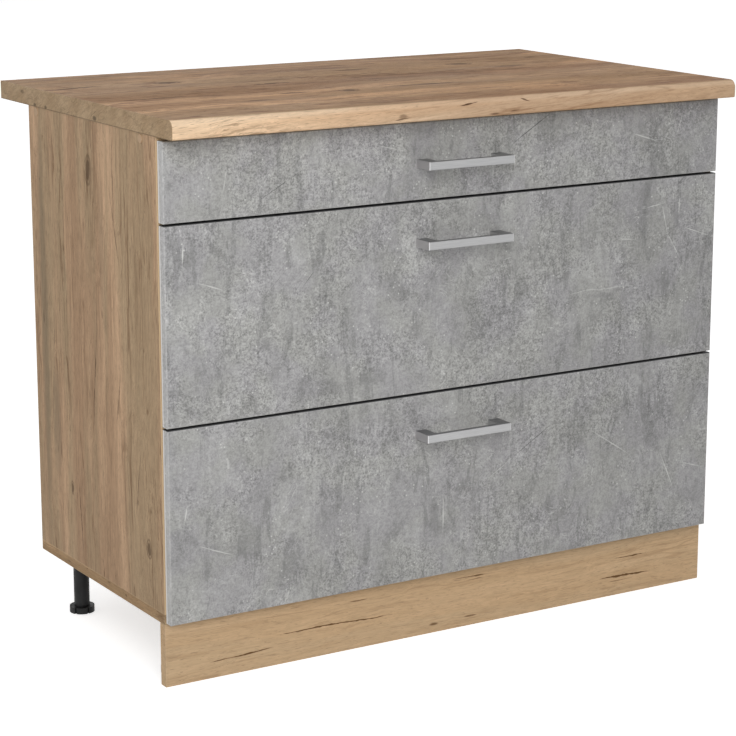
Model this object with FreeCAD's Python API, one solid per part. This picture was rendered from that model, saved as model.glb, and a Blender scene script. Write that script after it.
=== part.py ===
import FreeCAD, Part
import math
import os

# Base cabinet with three drawers, on adjustable legs behind a plinth, under a rounded-front worktop.
# Millimetres. +X is to the right of someone facing the drawers, +Y to the back, +Z up.
# The origin is on the floor, under the middle of the worktop.

Vector = FreeCAD.Vector

# ---------------------------------------------------------------- driving dimensions

# carcass
cabinet_width = 1000.0
carcass_height = 720.0
board = 16.0
back_sheet = 3.0
back_sheet_margin = 2.0
front_rail_depth = 96.0
rear_rail_depth = 60.0

# base
base_height = 97.0
plinth_top_gap = 0.5
leg_inset_side = 41.5
leg_inset_end = 56.0

# worktop
worktop_depth = 600.0
worktop_thickness = 28.0
worktop_overhang = 53.5
worktop_top_round = 12.0
worktop_bottom_round = 3.0
end_band = 1.0

# drawer fronts
front_thickness = 16.0
front_stand_off = 1.0
front_gap = 3.0
front_side_margin = 2.0
front_bottom_margin = 2.5
front_top_margin = 5.5
front_round = 2.0
shallow_front_height = 117.0

# drawer boxes
box_lift = 22.0
deep_box_height = 200.0
box_below_rail = 14.5
bottom_sheet = 3.0
sheet_rise = 10.0
groove_depth = 6.0
groove_play = 0.1
sheet_end_play = 0.5

# telescopic runners
runner_length = 400.0
runner_setback = 2.0
runner_rise = 35.0
room_behind_runner = 39.0
runner_slot = 12.7
runner_steel = 1.2
ball_radius = 2.0
race_play = 0.3
outer_row_height = 19.0
inner_row_drop = 5.0
outer_lip_angle = 50.0
middle_lip_angle = 40.0
inner_lip_angle = -140.0
fold_radius = 0.9
cage_thickness = 1.2
cage_width = 3.4
cage_end_play = 5.0

# handles
handle_length = 153.0
handle_height = 12.5
handle_reach = 36.0
handle_bar = 8.0
handle_post = 19.0
handle_inner_round = 4.0
handle_edge_bevel = 0.6
handle_drop = 62.0

# caps over the screws that join the side panels to the rails
cap_radius = 6.5
cap_thickness = 0.9

# legs
tube_radius = 12.5
tube_bore = 8.2
leg_plate_width = 56.0
leg_plate = 4.0
foot_radius = 20.0
foot_height = 10.0
foot_grooves = 6
foot_groove_width = 3.0
foot_groove_depth = 2.5
foot_groove_angle = 35.0
foot_gap = 0.3
stem_play = 0.1
stem_length = 35.0

# plinth clips
clip_play = 0.15
clip_wall = 3.5
clip_height = 20.0
clip_rise = 45.0
clip_mouth = 17.0
clip_plate_width = 40.0
clip_plate_height = 34.0
clip_plate = 3.0
clip_web = 12.0

# ---------------------------------------------------------------- places that follow from them

half_width = cabinet_width / 2
inner_half_width = half_width - board
carcass_depth = runner_setback + runner_length + room_behind_runner
carcass_bottom = base_height
carcass_top = carcass_bottom + carcass_height
worktop_front = -worktop_depth / 2
carcass_front = worktop_front + worktop_overhang
carcass_back = carcass_front + carcass_depth
front_back_face = carcass_front - front_stand_off
front_face = front_back_face - front_thickness
side_panel_bottom = carcass_bottom + board
rail_underside = carcass_top - board
front_rail_middle = carcass_front + front_rail_depth / 2
rear_rail_middle = carcass_back - rear_rail_depth / 2
rail_middle_height = carcass_top - board / 2

fronts_bottom = carcass_bottom + front_bottom_margin
fronts_top = carcass_top - front_top_margin
fronts_height = fronts_top - fronts_bottom
deep_front_height = (fronts_height - shallow_front_height - 2 * front_gap) / 2
middle_front_bottom = fronts_bottom + deep_front_height + front_gap
top_front_bottom = middle_front_bottom + deep_front_height + front_gap
shallow_box_height = rail_underside - box_below_rail - (top_front_bottom + box_lift)

box_half_width = inner_half_width - runner_slot
box_inner_half_width = box_half_width - board
box_front_inner_face = front_back_face + board
box_back_face = front_back_face + runner_length
box_back_inner_face = box_back_face - board

runner_front = carcass_front + runner_setback
leg_x = half_width - leg_inset_side
leg_front_y = carcass_front + leg_inset_end
leg_rear_y = carcass_back - leg_inset_end
plinth_back_face = carcass_front + board
leg_plate_bottom = carcass_bottom - leg_plate
tube_bottom = foot_height + foot_gap

LEFT, RIGHT = -1, 1
UP = Vector(0, 0, 1)
OUTWARD = {LEFT: Vector(-1, 0, 0), RIGHT: Vector(1, 0, 0)}

# ---------------------------------------------------------------- shape helpers


def block(x, y, z):
    """A box between the two ends given for each axis."""
    low = Vector(min(x), min(y), min(z))
    return Part.makeBox(abs(x[1] - x[0]), abs(y[1] - y[0]), abs(z[1] - z[0]), low)


def turned(outline, place):
    """A turned piece: (radius, height) points spun about the upright line through place."""
    points = [place + Vector(radius, 0, height) for radius, height in outline]
    face = Part.Face(Part.makePolygon(points + points[:1]))
    return face.revolve(place, UP, 360)


def edges_where(solid, chosen):
    """The edges whose two ends both satisfy the test."""
    return [e for e in solid.Edges if all(chosen(v.Point) for v in e.Vertexes) and len(e.Vertexes) == 2]


def near(a, b):
    return abs(a - b) < 1e-6


def other_side(solid):
    """The mirror image across the cabinet's middle plane."""
    return solid.mirror(Vector(0, 0, 0), Vector(1, 0, 0))


def save(node, solids):
    """One STEP file for one named node."""
    shape = solids[0] if len(solids) == 1 else Part.makeCompound(solids)
    shape.exportStep("parts/" + node + ".step")


# ---------------------------------------------------------------- carcass


def carcass():
    span_y = (carcass_front, carcass_back)
    for side, name in ((LEFT, "left"), (RIGHT, "right")):
        span_x = (side * half_width, side * inner_half_width)
        save("side_panel_" + name, [block(span_x, span_y, (side_panel_bottom, carcass_top))])
    span_x = (-half_width, half_width)
    save("bottom_panel", [block(span_x, span_y, (carcass_bottom, side_panel_bottom))])

    rails = {
        "top_rail_front": (carcass_front, carcass_front + front_rail_depth),
        "top_rail_rear": (carcass_back - rear_rail_depth, carcass_back),
    }
    for name, rail_y in rails.items():
        rail_x = (-inner_half_width, inner_half_width)
        save(name, [block(rail_x, rail_y, (rail_underside, carcass_top))])

    sheet_x = half_width - back_sheet_margin
    sheet_z = (carcass_bottom + back_sheet_margin, carcass_top - back_sheet_margin)
    save("back_panel", [block((-sheet_x, sheet_x), (carcass_back, carcass_back + back_sheet), sheet_z)])

    caps = []
    for side in (LEFT, RIGHT):
        for y in (front_rail_middle, rear_rail_middle):
            seat = Vector(side * half_width, y, rail_middle_height)
            caps.append(Part.makeCylinder(cap_radius, cap_thickness, seat, OUTWARD[side]))
    save("screw_caps", caps)


# ---------------------------------------------------------------- worktop


def worktop_length(x0, x1):
    """A length of worktop: a board with a large round at the front's top and a small one below."""
    back = worktop_front + worktop_depth
    top = carcass_top + worktop_thickness
    solid = block((x0, x1), (worktop_front, back), (carcass_top, top))
    top_edge = edges_where(solid, lambda p: near(p.y, worktop_front) and near(p.z, top))
    solid = solid.makeFillet(worktop_top_round, top_edge)
    bottom_edge = edges_where(solid, lambda p: near(p.y, worktop_front) and near(p.z, carcass_top))
    return solid.makeFillet(worktop_bottom_round, bottom_edge)


def worktop():
    save("worktop", [worktop_length(-half_width, half_width)])
    band = worktop_length(half_width, half_width + end_band)
    save("worktop_end_bands", [other_side(band), band])


# ---------------------------------------------------------------- legs and plinth

leg_places = {
    "front_left": Vector(-leg_x, leg_front_y, 0),
    "front_right": Vector(leg_x, leg_front_y, 0),
    "rear_left": Vector(-leg_x, leg_rear_y, 0),
    "rear_right": Vector(leg_x, leg_rear_y, 0),
}


def leg_socket_plate(place):
    """A square plate, screwed to the bottom panel, that the tube plugs into."""
    half = leg_plate_width / 2
    span_x = (place.x - half, place.x + half)
    span_y = (place.y - half, place.y + half)
    return block(span_x, span_y, (leg_plate_bottom, carcass_bottom))


def leg_tube(place):
    """A round tube from the plate down to the foot, bored for the foot's stem."""
    length = leg_plate_bottom - tube_bottom
    bottom = place + UP * tube_bottom
    tube = Part.makeCylinder(tube_radius, length, bottom)
    return tube.cut(Part.makeCylinder(tube_bore, length, bottom))


def levelling_foot(place):
    """A grooved disc, turned by hand, with the stem that it climbs the tube by."""
    stem_radius = tube_bore - stem_play
    stem_top = foot_height + stem_length
    outline = [(0, 0), (foot_radius, 0), (foot_radius, foot_height)]
    outline += [(stem_radius, foot_height), (stem_radius, stem_top), (0, stem_top)]
    foot = turned(outline, place)
    reach = foot_radius - foot_groove_depth
    grooves = []
    for i in range(foot_grooves):
        across = (-foot_groove_width / 2, foot_groove_width / 2)
        groove = block((reach, foot_radius + foot_groove_depth), across, (0, foot_height))
        groove.rotate(Vector(0, 0, 0), UP, foot_groove_angle + i * 360 / foot_grooves)
        groove.translate(place)
        grooves.append(groove)
    return foot.cut(Part.makeCompound(grooves))


def plinth_clip(place):
    """An open ring that snaps on the leg, with a plate that screws to the plinth's back."""
    inner = tube_radius + clip_play
    outer = inner + clip_wall
    base = place + UP * clip_rise
    clip_z = (clip_rise, clip_rise + clip_height)
    ring = Part.makeCylinder(outer, clip_height, base)
    web_x = (place.x - clip_web / 2, place.x + clip_web / 2)
    web = block(web_x, (plinth_back_face, place.y), clip_z)
    plate_x = (place.x - clip_plate_width / 2, place.x + clip_plate_width / 2)
    plate_middle = clip_rise + clip_height / 2
    plate_z = (plate_middle - clip_plate_height / 2, plate_middle + clip_plate_height / 2)
    plate = block(plate_x, (plinth_back_face, plinth_back_face + clip_plate), plate_z)
    mouth_x = (place.x - clip_mouth / 2, place.x + clip_mouth / 2)
    mouth = block(mouth_x, (place.y, place.y + outer), clip_z)
    clip = ring.fuse([web, plate]).cut(Part.makeCylinder(inner, clip_height, base))
    return clip.cut(mouth).removeSplitter()


def base():
    save("leg_socket_plates", [leg_socket_plate(place) for place in leg_places.values()])
    save("leg_tubes", [leg_tube(place) for place in leg_places.values()])
    for name, place in leg_places.items():
        save("foot_" + name, [levelling_foot(place)])
    plinth_z = (0, carcass_bottom - plinth_top_gap)
    save("plinth", [block((-half_width, half_width), (carcass_front, plinth_back_face), plinth_z)])
    front_legs = (leg_places["front_left"], leg_places["front_right"])
    save("plinth_clips", [plinth_clip(place) for place in front_legs])


# ---------------------------------------------------------------- telescopic runners

# Section of a left runner, seen from the front: u runs from the side panel towards the drawer, v up
# from the runner's middle. All three members are strips of one thickness; races curl round the balls.
race_radius = ball_radius + race_play + runner_steel / 2
cabinet_web = runner_steel / 2
middle_web = cabinet_web + runner_steel + race_play
drawer_web = runner_slot - runner_steel / 2
outer_row = Vector(cabinet_web + race_radius, outer_row_height, 0)
inner_row = Vector(drawer_web - race_radius, outer_row_height - inner_row_drop, 0)


def polar(centre, radius, degrees):
    angle = math.radians(degrees)
    return centre + Vector(math.cos(angle), math.sin(angle), 0) * radius


def bearing(direction):
    return math.degrees(math.atan2(direction.y, direction.x))


def beside(path, shift):
    """The edges of a path of tangent lines and arcs, moved by shift to the left of its travel.

    A line is (start, end). An arc is (centre, radius, start angle, end angle), clockwise if the angle falls.
    """
    edges = []
    for piece in path:
        if len(piece) == 2:
            along = (piece[1] - piece[0]).normalize()
            aside = Vector(-along.y, along.x, 0) * shift
            edges.append(Part.makeLine(piece[0] + aside, piece[1] + aside))
        else:
            centre, radius, start, end = piece
            moved = radius - shift if end > start else radius + shift
            points = [polar(centre, moved, angle) for angle in (start, (start + end) / 2, end)]
            edges.append(Part.Arc(*points).toShape())
    return edges


def strip_section(path):
    """A bent steel strip's section: the path from the web's middle to one lip, and its mirror image."""
    left = beside(path, runner_steel / 2)
    right = beside(path, -runner_steel / 2)
    lip = Part.makeLine(left[-1].lastVertex(True).Point, right[-1].lastVertex(True).Point)
    upper = left + right + [lip]
    lower = [edge.mirror(Vector(0, 0, 0), Vector(0, 1, 0)) for edge in upper]
    return Part.Face(Part.Wire(Part.sortEdges(upper + lower)[0]))


def cabinet_member_section():
    web = (Vector(cabinet_web, 0, 0), Vector(cabinet_web, outer_row.y, 0))
    return strip_section([web, (outer_row, race_radius, 180, outer_lip_angle)])


def folded_web(web, row, turn):
    """A path up the web from its middle and round the fold that leads it under a row of balls.

    turn is 1 where the fold leads to larger u and -1 where it leads back. The angle at which the path
    meets the race comes with it.
    """
    fold_u = web + turn * fold_radius
    drop = math.sqrt((race_radius + fold_radius) ** 2 - (row.x - fold_u) ** 2)
    fold = Vector(fold_u, row.y - drop, 0)
    start = 180 if turn > 0 else 0
    end = bearing(row - fold)
    return [(Vector(web, 0, 0), Vector(web, fold.y, 0)), (fold, fold_radius, start, end)], end - 180


def drawer_member_section():
    """Up the web, round a fold and under the inner balls."""
    path, meets = folded_web(drawer_web, inner_row, -1)
    return strip_section(path + [(inner_row, race_radius, meets, inner_lip_angle)])


def middle_member_section():
    """Up the web, round a fold, under the outer balls, across to the inner balls and over them."""
    path, meets = folded_web(middle_web, outer_row, 1)
    across = inner_row - outer_row
    leaves = bearing(across) - math.degrees(math.acos(2 * race_radius / across.Length))
    path.append((outer_row, race_radius, meets, leaves))
    path.append((polar(outer_row, race_radius, leaves), polar(inner_row, race_radius, leaves + 180)))
    path.append((inner_row, race_radius, leaves + 180, middle_lip_angle))
    return strip_section(path)


def stand_runner(section, height, start, length):
    """A pair of runner pieces of this section, on the left and right side panels."""
    piece = section.extrude(Vector(0, 0, length)).removeSplitter()
    upright = FreeCAD.Rotation(Vector(1, 0, 0), 90)
    piece.Placement = FreeCAD.Placement(Vector(-inner_half_width, start + length, height), upright)
    return [piece, other_side(piece)]


def cage_strips(row, height):
    """One pair of ball cages: the strips that space the upper and the lower row of balls."""
    length = runner_length / 2 - 2 * cage_end_play
    start = runner_front + (runner_length - length) / 2
    middle = -inner_half_width + row.x
    span_x = (middle - cage_width / 2, middle + cage_width / 2)
    strips = []
    for v in (row.y, -row.y):
        span_z = (height + v - cage_thickness / 2, height + v + cage_thickness / 2)
        strip = block(span_x, (start, start + length), span_z)
        strips += [strip, other_side(strip)]
    return strips


def runners(name, height):
    members = {
        "cabinet_members": cabinet_member_section(),
        "middle_members": middle_member_section(),
        "drawer_members": drawer_member_section(),
    }
    for member, section in members.items():
        save(name + "_runner_" + member, stand_runner(section, height, runner_front, runner_length))
    save(name + "_runner_outer_cages", cage_strips(outer_row, height))
    save(name + "_runner_inner_cages", cage_strips(inner_row, height))


# ---------------------------------------------------------------- drawers


def handle(height):
    """A bar pull: a flat bar between two posts that stand on the front, flush with its ends."""
    half = handle_length / 2
    bar_face = front_face - handle_reach
    z = (height - handle_height / 2, height + handle_height / 2)
    outer = block((-half, half), (bar_face, front_face), z)
    inner_half = half - handle_post
    finger_gap = block((-inner_half, inner_half), (bar_face + handle_bar, front_face), z)
    corners = edges_where(finger_gap, lambda p: near(p.y, bar_face + handle_bar))
    corners = [e for e in corners if near(e.Vertexes[0].Point.x, e.Vertexes[1].Point.x)]
    solid = outer.cut(finger_gap.makeFillet(handle_inner_round, corners))
    rim = edges_where(solid, lambda p: near(p.y, bar_face))
    return solid.makeChamfer(handle_edge_bevel, rim)


def drawer(name, front_bottom, front_height, box_height):
    front_top = front_bottom + front_height
    box_bottom = front_bottom + box_lift
    box_top = box_bottom + box_height
    box_z = (box_bottom, box_top)

    front_x = half_width - front_side_margin
    front = block((-front_x, front_x), (front_face, front_back_face), (front_bottom, front_top))
    front = front.makeFillet(front_round, edges_where(front, lambda p: near(p.y, front_face)))
    save(name + "_front", [front])
    save(name + "_handle", [handle(front_top - handle_drop)])

    sheet_x = box_inner_half_width + groove_depth - sheet_end_play
    sheet_y = (box_front_inner_face - groove_depth + sheet_end_play,
               box_back_inner_face + groove_depth - sheet_end_play)
    sheet_z = (box_bottom + sheet_rise, box_bottom + sheet_rise + bottom_sheet)
    save(name + "_bottom", [block((-sheet_x, sheet_x), sheet_y, sheet_z)])

    groove_x = box_inner_half_width + groove_depth
    groove_y = (box_front_inner_face - groove_depth, box_back_inner_face + groove_depth)
    groove_z = (sheet_z[0] - groove_play, sheet_z[1] + groove_play)
    groove = block((-groove_x, groove_x), groove_y, groove_z)
    inner_x = (-box_inner_half_width, box_inner_half_width)
    inner_front = block(inner_x, (front_back_face, box_front_inner_face), box_z)
    save(name + "_inner_front", [inner_front.cut(groove)])
    save(name + "_back", [block(inner_x, (box_back_inner_face, box_back_face), box_z).cut(groove)])
    for side, side_name in ((LEFT, "left"), (RIGHT, "right")):
        span_x = (side * box_inner_half_width, side * box_half_width)
        wall = block(span_x, (front_back_face, box_back_face), box_z)
        save(name + "_side_" + side_name, [wall.cut(groove)])

    runners(name, box_bottom + runner_rise)


# ---------------------------------------------------------------- build

os.makedirs("parts", exist_ok=True)
carcass()
worktop()
base()
drawer("top_drawer", top_front_bottom, shallow_front_height, shallow_box_height)
drawer("middle_drawer", middle_front_bottom, deep_front_height, deep_box_height)
drawer("bottom_drawer", fronts_bottom, deep_front_height, deep_box_height)
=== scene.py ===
import math

import bmesh
import bpy
from mathutils import Euler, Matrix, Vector


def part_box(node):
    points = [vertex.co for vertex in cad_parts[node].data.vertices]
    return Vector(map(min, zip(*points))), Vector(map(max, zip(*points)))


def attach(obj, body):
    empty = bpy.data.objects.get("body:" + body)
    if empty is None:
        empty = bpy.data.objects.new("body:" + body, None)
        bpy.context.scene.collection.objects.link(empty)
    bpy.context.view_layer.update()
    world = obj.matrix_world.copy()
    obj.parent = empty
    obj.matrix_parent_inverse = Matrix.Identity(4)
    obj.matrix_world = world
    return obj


# Looks of the base cabinet with three drawers: its materials, the small fasteners and the bearing
# balls, and the floor, light and camera of the picture. Metres, in the frame of the CAD part:
# +X to the right of someone facing the drawers, +Y to the back, +Z up, the origin on the floor.

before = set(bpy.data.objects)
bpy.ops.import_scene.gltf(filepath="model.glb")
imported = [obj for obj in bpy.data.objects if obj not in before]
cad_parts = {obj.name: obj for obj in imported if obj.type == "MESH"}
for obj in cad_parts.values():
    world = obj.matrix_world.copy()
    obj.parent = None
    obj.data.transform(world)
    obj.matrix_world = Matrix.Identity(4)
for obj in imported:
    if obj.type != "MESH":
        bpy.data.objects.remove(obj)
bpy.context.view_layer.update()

DRAWERS = ("top_drawer", "middle_drawer", "bottom_drawer")
SIDES = (-1, 1)
UP = Vector((0, 0, 1))
DOWN = Vector((0, 0, -1))
BACKWARD = Vector((0, 1, 0))
EVERYWHERE = 4.0

# ---------------------------------------------------------------- sizes of the small pieces

handle_screw_radius = 0.004
handle_screw_height = 0.0025
handle_screw_spacing = 0.128
board_screw_radius = 0.0038
board_screw_height = 0.0021
flush_screw_radius = 0.0035
flush_screw_height = 0.00014
web_screw_radius = 0.0036
web_screw_height = 0.0016
nail_radius = 0.0019
nail_height = 0.0006
screw_sides = 20
nail_sides = 10

board = 0.016
runner_steel = 0.0012
runner_slot = 0.0127
outer_row_inset = 0.0035
outer_row_height = 0.019
inner_row_inset = 0.0092
inner_row_height = 0.014
ball_radius = 0.002
balls_in_row = 20
ball_pitch = 0.0095

# ---------------------------------------------------------------- gloss, relief and wear

laminate_gloss = 0.1
front_gloss = 0.25
plastic_gloss = 0.3
grain_depth = 0.00012
fine_depth = 0.0001
metal_depth = 0.00002
rubbed_width = 0.0016
knot_ragged = 0.011

# ---------------------------------------------------------------- shader building


def tone(red, green, blue):
    """A colour as a screen shows it, 0 to 255, in the linear form that shaders take."""
    parts = [value / 255 for value in (red, green, blue)]
    return tuple([p / 12.92 if p <= 0.04045 else ((p + 0.055) / 1.055) ** 2.4 for p in parts] + [1.0])


class Nodes:
    """Adds nodes to one shader tree. Most methods give back the new node's output socket."""

    def __init__(self, tree):
        self.tree = tree

    def feed(self, socket, value):
        if isinstance(value, bpy.types.NodeSocket):
            self.tree.links.new(value, socket)
        else:
            socket.default_value = value

    def add(self, kind, inputs, **settings):
        node = self.tree.nodes.new("ShaderNode" + kind)
        for setting, value in settings.items():
            setattr(node, setting, value)
        for socket, value in inputs.items():
            self.feed(node.inputs[socket], value)
        return node

    def place(self):
        return self.add("TexCoord", {}).outputs["Object"]

    def stretch(self, vector, scale=(1, 1, 1), turn=(0, 0, 0), shift=(0, 0, 0)):
        inputs = {"Vector": vector, "Location": shift, "Rotation": turn, "Scale": scale}
        return self.add("Mapping", inputs).outputs["Vector"]

    def noise(self, vector, scale=1.0, detail=2.0, roughness=0.5, distortion=0.0):
        inputs = {"Vector": vector, "Scale": scale, "Detail": detail, "Roughness": roughness}
        inputs["Distortion"] = distortion
        return self.add("TexNoise", inputs).outputs["Fac"]

    def cells(self, vector, scale, feature="F1"):
        inputs = {"Vector": vector, "Scale": scale}
        return self.add("TexVoronoi", inputs, feature=feature).outputs["Distance"]

    def ramp(self, value, low, high, to_low=0.0, to_high=1.0):
        inputs = {"Value": value, "From Min": low, "From Max": high, "To Min": to_low, "To Max": to_high}
        return self.add("MapRange", inputs, interpolation_type="SMOOTHSTEP").outputs["Result"]

    def maths(self, operation, first, second=0.0):
        return self.add("Math", {0: first, 1: second}, operation=operation).outputs["Value"]

    def times(self, first, second):
        return self.maths("MULTIPLY", first, second)

    def plus(self, first, second):
        return self.maths("ADD", first, second)

    def less(self, first, second):
        return self.maths("SUBTRACT", first, second)

    def either(self, first, second):
        return self.maths("MAXIMUM", first, second)

    def contour(self, value, wide, narrow):
        """Thin lines where a noise passes its middle value."""
        return self.ramp(self.maths("ABSOLUTE", self.less(value, 0.5)), wide, narrow)

    def drawn(self, vector, along, across, detail=2.0, roughness=0.5, shift=(0, 0, 0)):
        """Noise drawn out along X."""
        place = self.stretch(vector, (along, across, across), shift=shift)
        return self.noise(place, 1.0, detail, roughness)

    def vector_maths(self, operation, first, second=(0, 0, 0)):
        return self.add("VectorMath", {0: first, 1: second}, operation=operation).outputs["Vector"]

    def split(self, vector):
        return self.add("SeparateXYZ", {"Vector": vector}).outputs

    def mix(self, factor, first, second, kind="MIX"):
        inputs = {0: factor, 6: first, 7: second}
        return self.add("Mix", inputs, data_type="RGBA", blend_type=kind).outputs[2]

    def shaded(self, colour, factor):
        """The colour made lighter or darker by a factor."""
        factor = self.add("CombineXYZ", {"X": factor, "Y": factor, "Z": factor}).outputs["Vector"]
        return self.mix(1.0, colour, factor, "MULTIPLY")

    def group(self, tree, inputs):
        node = self.add("Group", {}, node_tree=tree)
        for socket, value in inputs.items():
            self.feed(node.inputs[socket], value)
        return node.outputs

    def bump(self, height, distance):
        return self.add("Bump", {"Height": height, "Distance": distance}).outputs["Normal"]

    def surface(self, **inputs):
        """The material's shader. An underscore in an input's name stands for a blank."""
        shader = self.add("BsdfPrincipled", {name.replace("_", " "): value for name, value in inputs.items()})
        self.add("OutputMaterial", {"Surface": shader.outputs["BSDF"]})


def new_material(name):
    material = bpy.data.materials.new(name)
    material.use_nodes = True
    material.node_tree.nodes.clear()
    return material, Nodes(material.node_tree)


def new_group(name, inputs, outputs):
    """A shader group with these sockets: its nodes, its input sockets, and its output node."""
    tree = bpy.data.node_groups.new(name, "ShaderNodeTree")
    for label, kind in inputs.items():
        tree.interface.new_socket(label, in_out="INPUT", socket_type="NodeSocket" + kind)
    for label, kind in outputs.items():
        tree.interface.new_socket(label, in_out="OUTPUT", socket_type="NodeSocket" + kind)
    taken = tree.nodes.new("NodeGroupInput").outputs
    given = tree.nodes.new("NodeGroupOutput")
    return Nodes(tree), taken, given


# ---------------------------------------------------------------- shared effects


def mark_group():
    """A soft-edged oval mark. Its place, turn and half lengths are given; it fades out at its rim."""
    inputs = {"Vector": "Vector", "Place": "Vector", "Turn": "Vector", "Size": "Vector", "Ragged": "Float"}
    nodes, taken, given = new_group("mark", inputs, {"Mask": "Float"})
    wander = nodes.add("TexNoise", {"Vector": taken["Vector"], "Scale": 38.0, "Detail": 3.0}).outputs["Color"]
    wander = nodes.vector_maths("SUBTRACT", wander, (0.5, 0.5, 0.5))
    inputs = {0: wander, "Scale": taken["Ragged"]}
    wander = nodes.add("VectorMath", inputs, operation="SCALE").outputs["Vector"]
    moved = nodes.vector_maths("ADD", taken["Vector"], wander)
    inputs = {"Vector": moved, "Location": taken["Place"], "Rotation": taken["Turn"], "Scale": taken["Size"]}
    local = nodes.add("Mapping", inputs, vector_type="TEXTURE").outputs["Vector"]
    reach = nodes.add("VectorMath", {0: local}, operation="LENGTH").outputs["Value"]
    nodes.feed(given.inputs["Mask"], nodes.ramp(reach, 1.0, 0.35))
    return nodes.tree


def line_group():
    """A thin crack or scratch along one axis: it wanders, swells, and tapers to its ends."""
    inputs = {"Vector": "Vector", "Along": "Float", "Across": "Float", "Middle along": "Float"}
    inputs.update({"Middle across": "Float", "Slope": "Float", "Half length": "Float"})
    inputs.update({"Half width": "Float", "Wander": "Float"})
    nodes, taken, given = new_group("line mark", inputs, {"Mask": "Float"})
    run = nodes.less(taken["Along"], taken["Middle along"])
    share = nodes.maths("DIVIDE", run, taken["Half length"])
    taper = nodes.either(nodes.less(1.0, nodes.times(share, share)), 0.0)
    sway = nodes.less(nodes.noise(taken["Vector"], 18.0, 3.0, 0.5), 0.5)
    swell = nodes.ramp(nodes.noise(taken["Vector"], 75.0, 2.0), 0.3, 0.7, 0.55, 1.35)
    path = nodes.plus(taken["Middle across"], nodes.times(run, taken["Slope"]))
    path = nodes.plus(path, nodes.times(sway, taken["Wander"]))
    away = nodes.maths("ABSOLUTE", nodes.less(taken["Across"], path))
    width = nodes.times(nodes.times(taken["Half width"], taper), swell)
    nodes.feed(given.inputs["Mask"], nodes.ramp(nodes.less(width, away), 0.0, 0.0005))
    return nodes.tree


def wear_group():
    """The worn rim of a box-shaped board: strongest on its edges, broken up along them."""
    inputs = {"Vector": "Vector", "Middle": "Vector", "Half size": "Vector", "Width": "Float"}
    nodes, taken, given = new_group("edge wear", inputs, {"Mask": "Float"})
    away = nodes.vector_maths("ABSOLUTE", nodes.vector_maths("SUBTRACT", taken["Vector"], taken["Middle"]))
    x, y, z = nodes.split(nodes.vector_maths("SUBTRACT", away, taken["Half size"]))
    near_edge = nodes.maths("MINIMUM", x, y)
    near_edge = nodes.either(near_edge, nodes.maths("MINIMUM", y, z))
    near_edge = nodes.either(near_edge, nodes.maths("MINIMUM", x, z))
    inner = nodes.times(taken["Width"], -1.0)
    rim = nodes.ramp(near_edge, inner, 0.0)
    broken = nodes.ramp(nodes.noise(taken["Vector"], 70.0, 4.0, 0.6), 0.35, 0.6, 0.35)
    nodes.feed(given.inputs["Mask"], nodes.times(rim, broken))
    return nodes.tree


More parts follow.
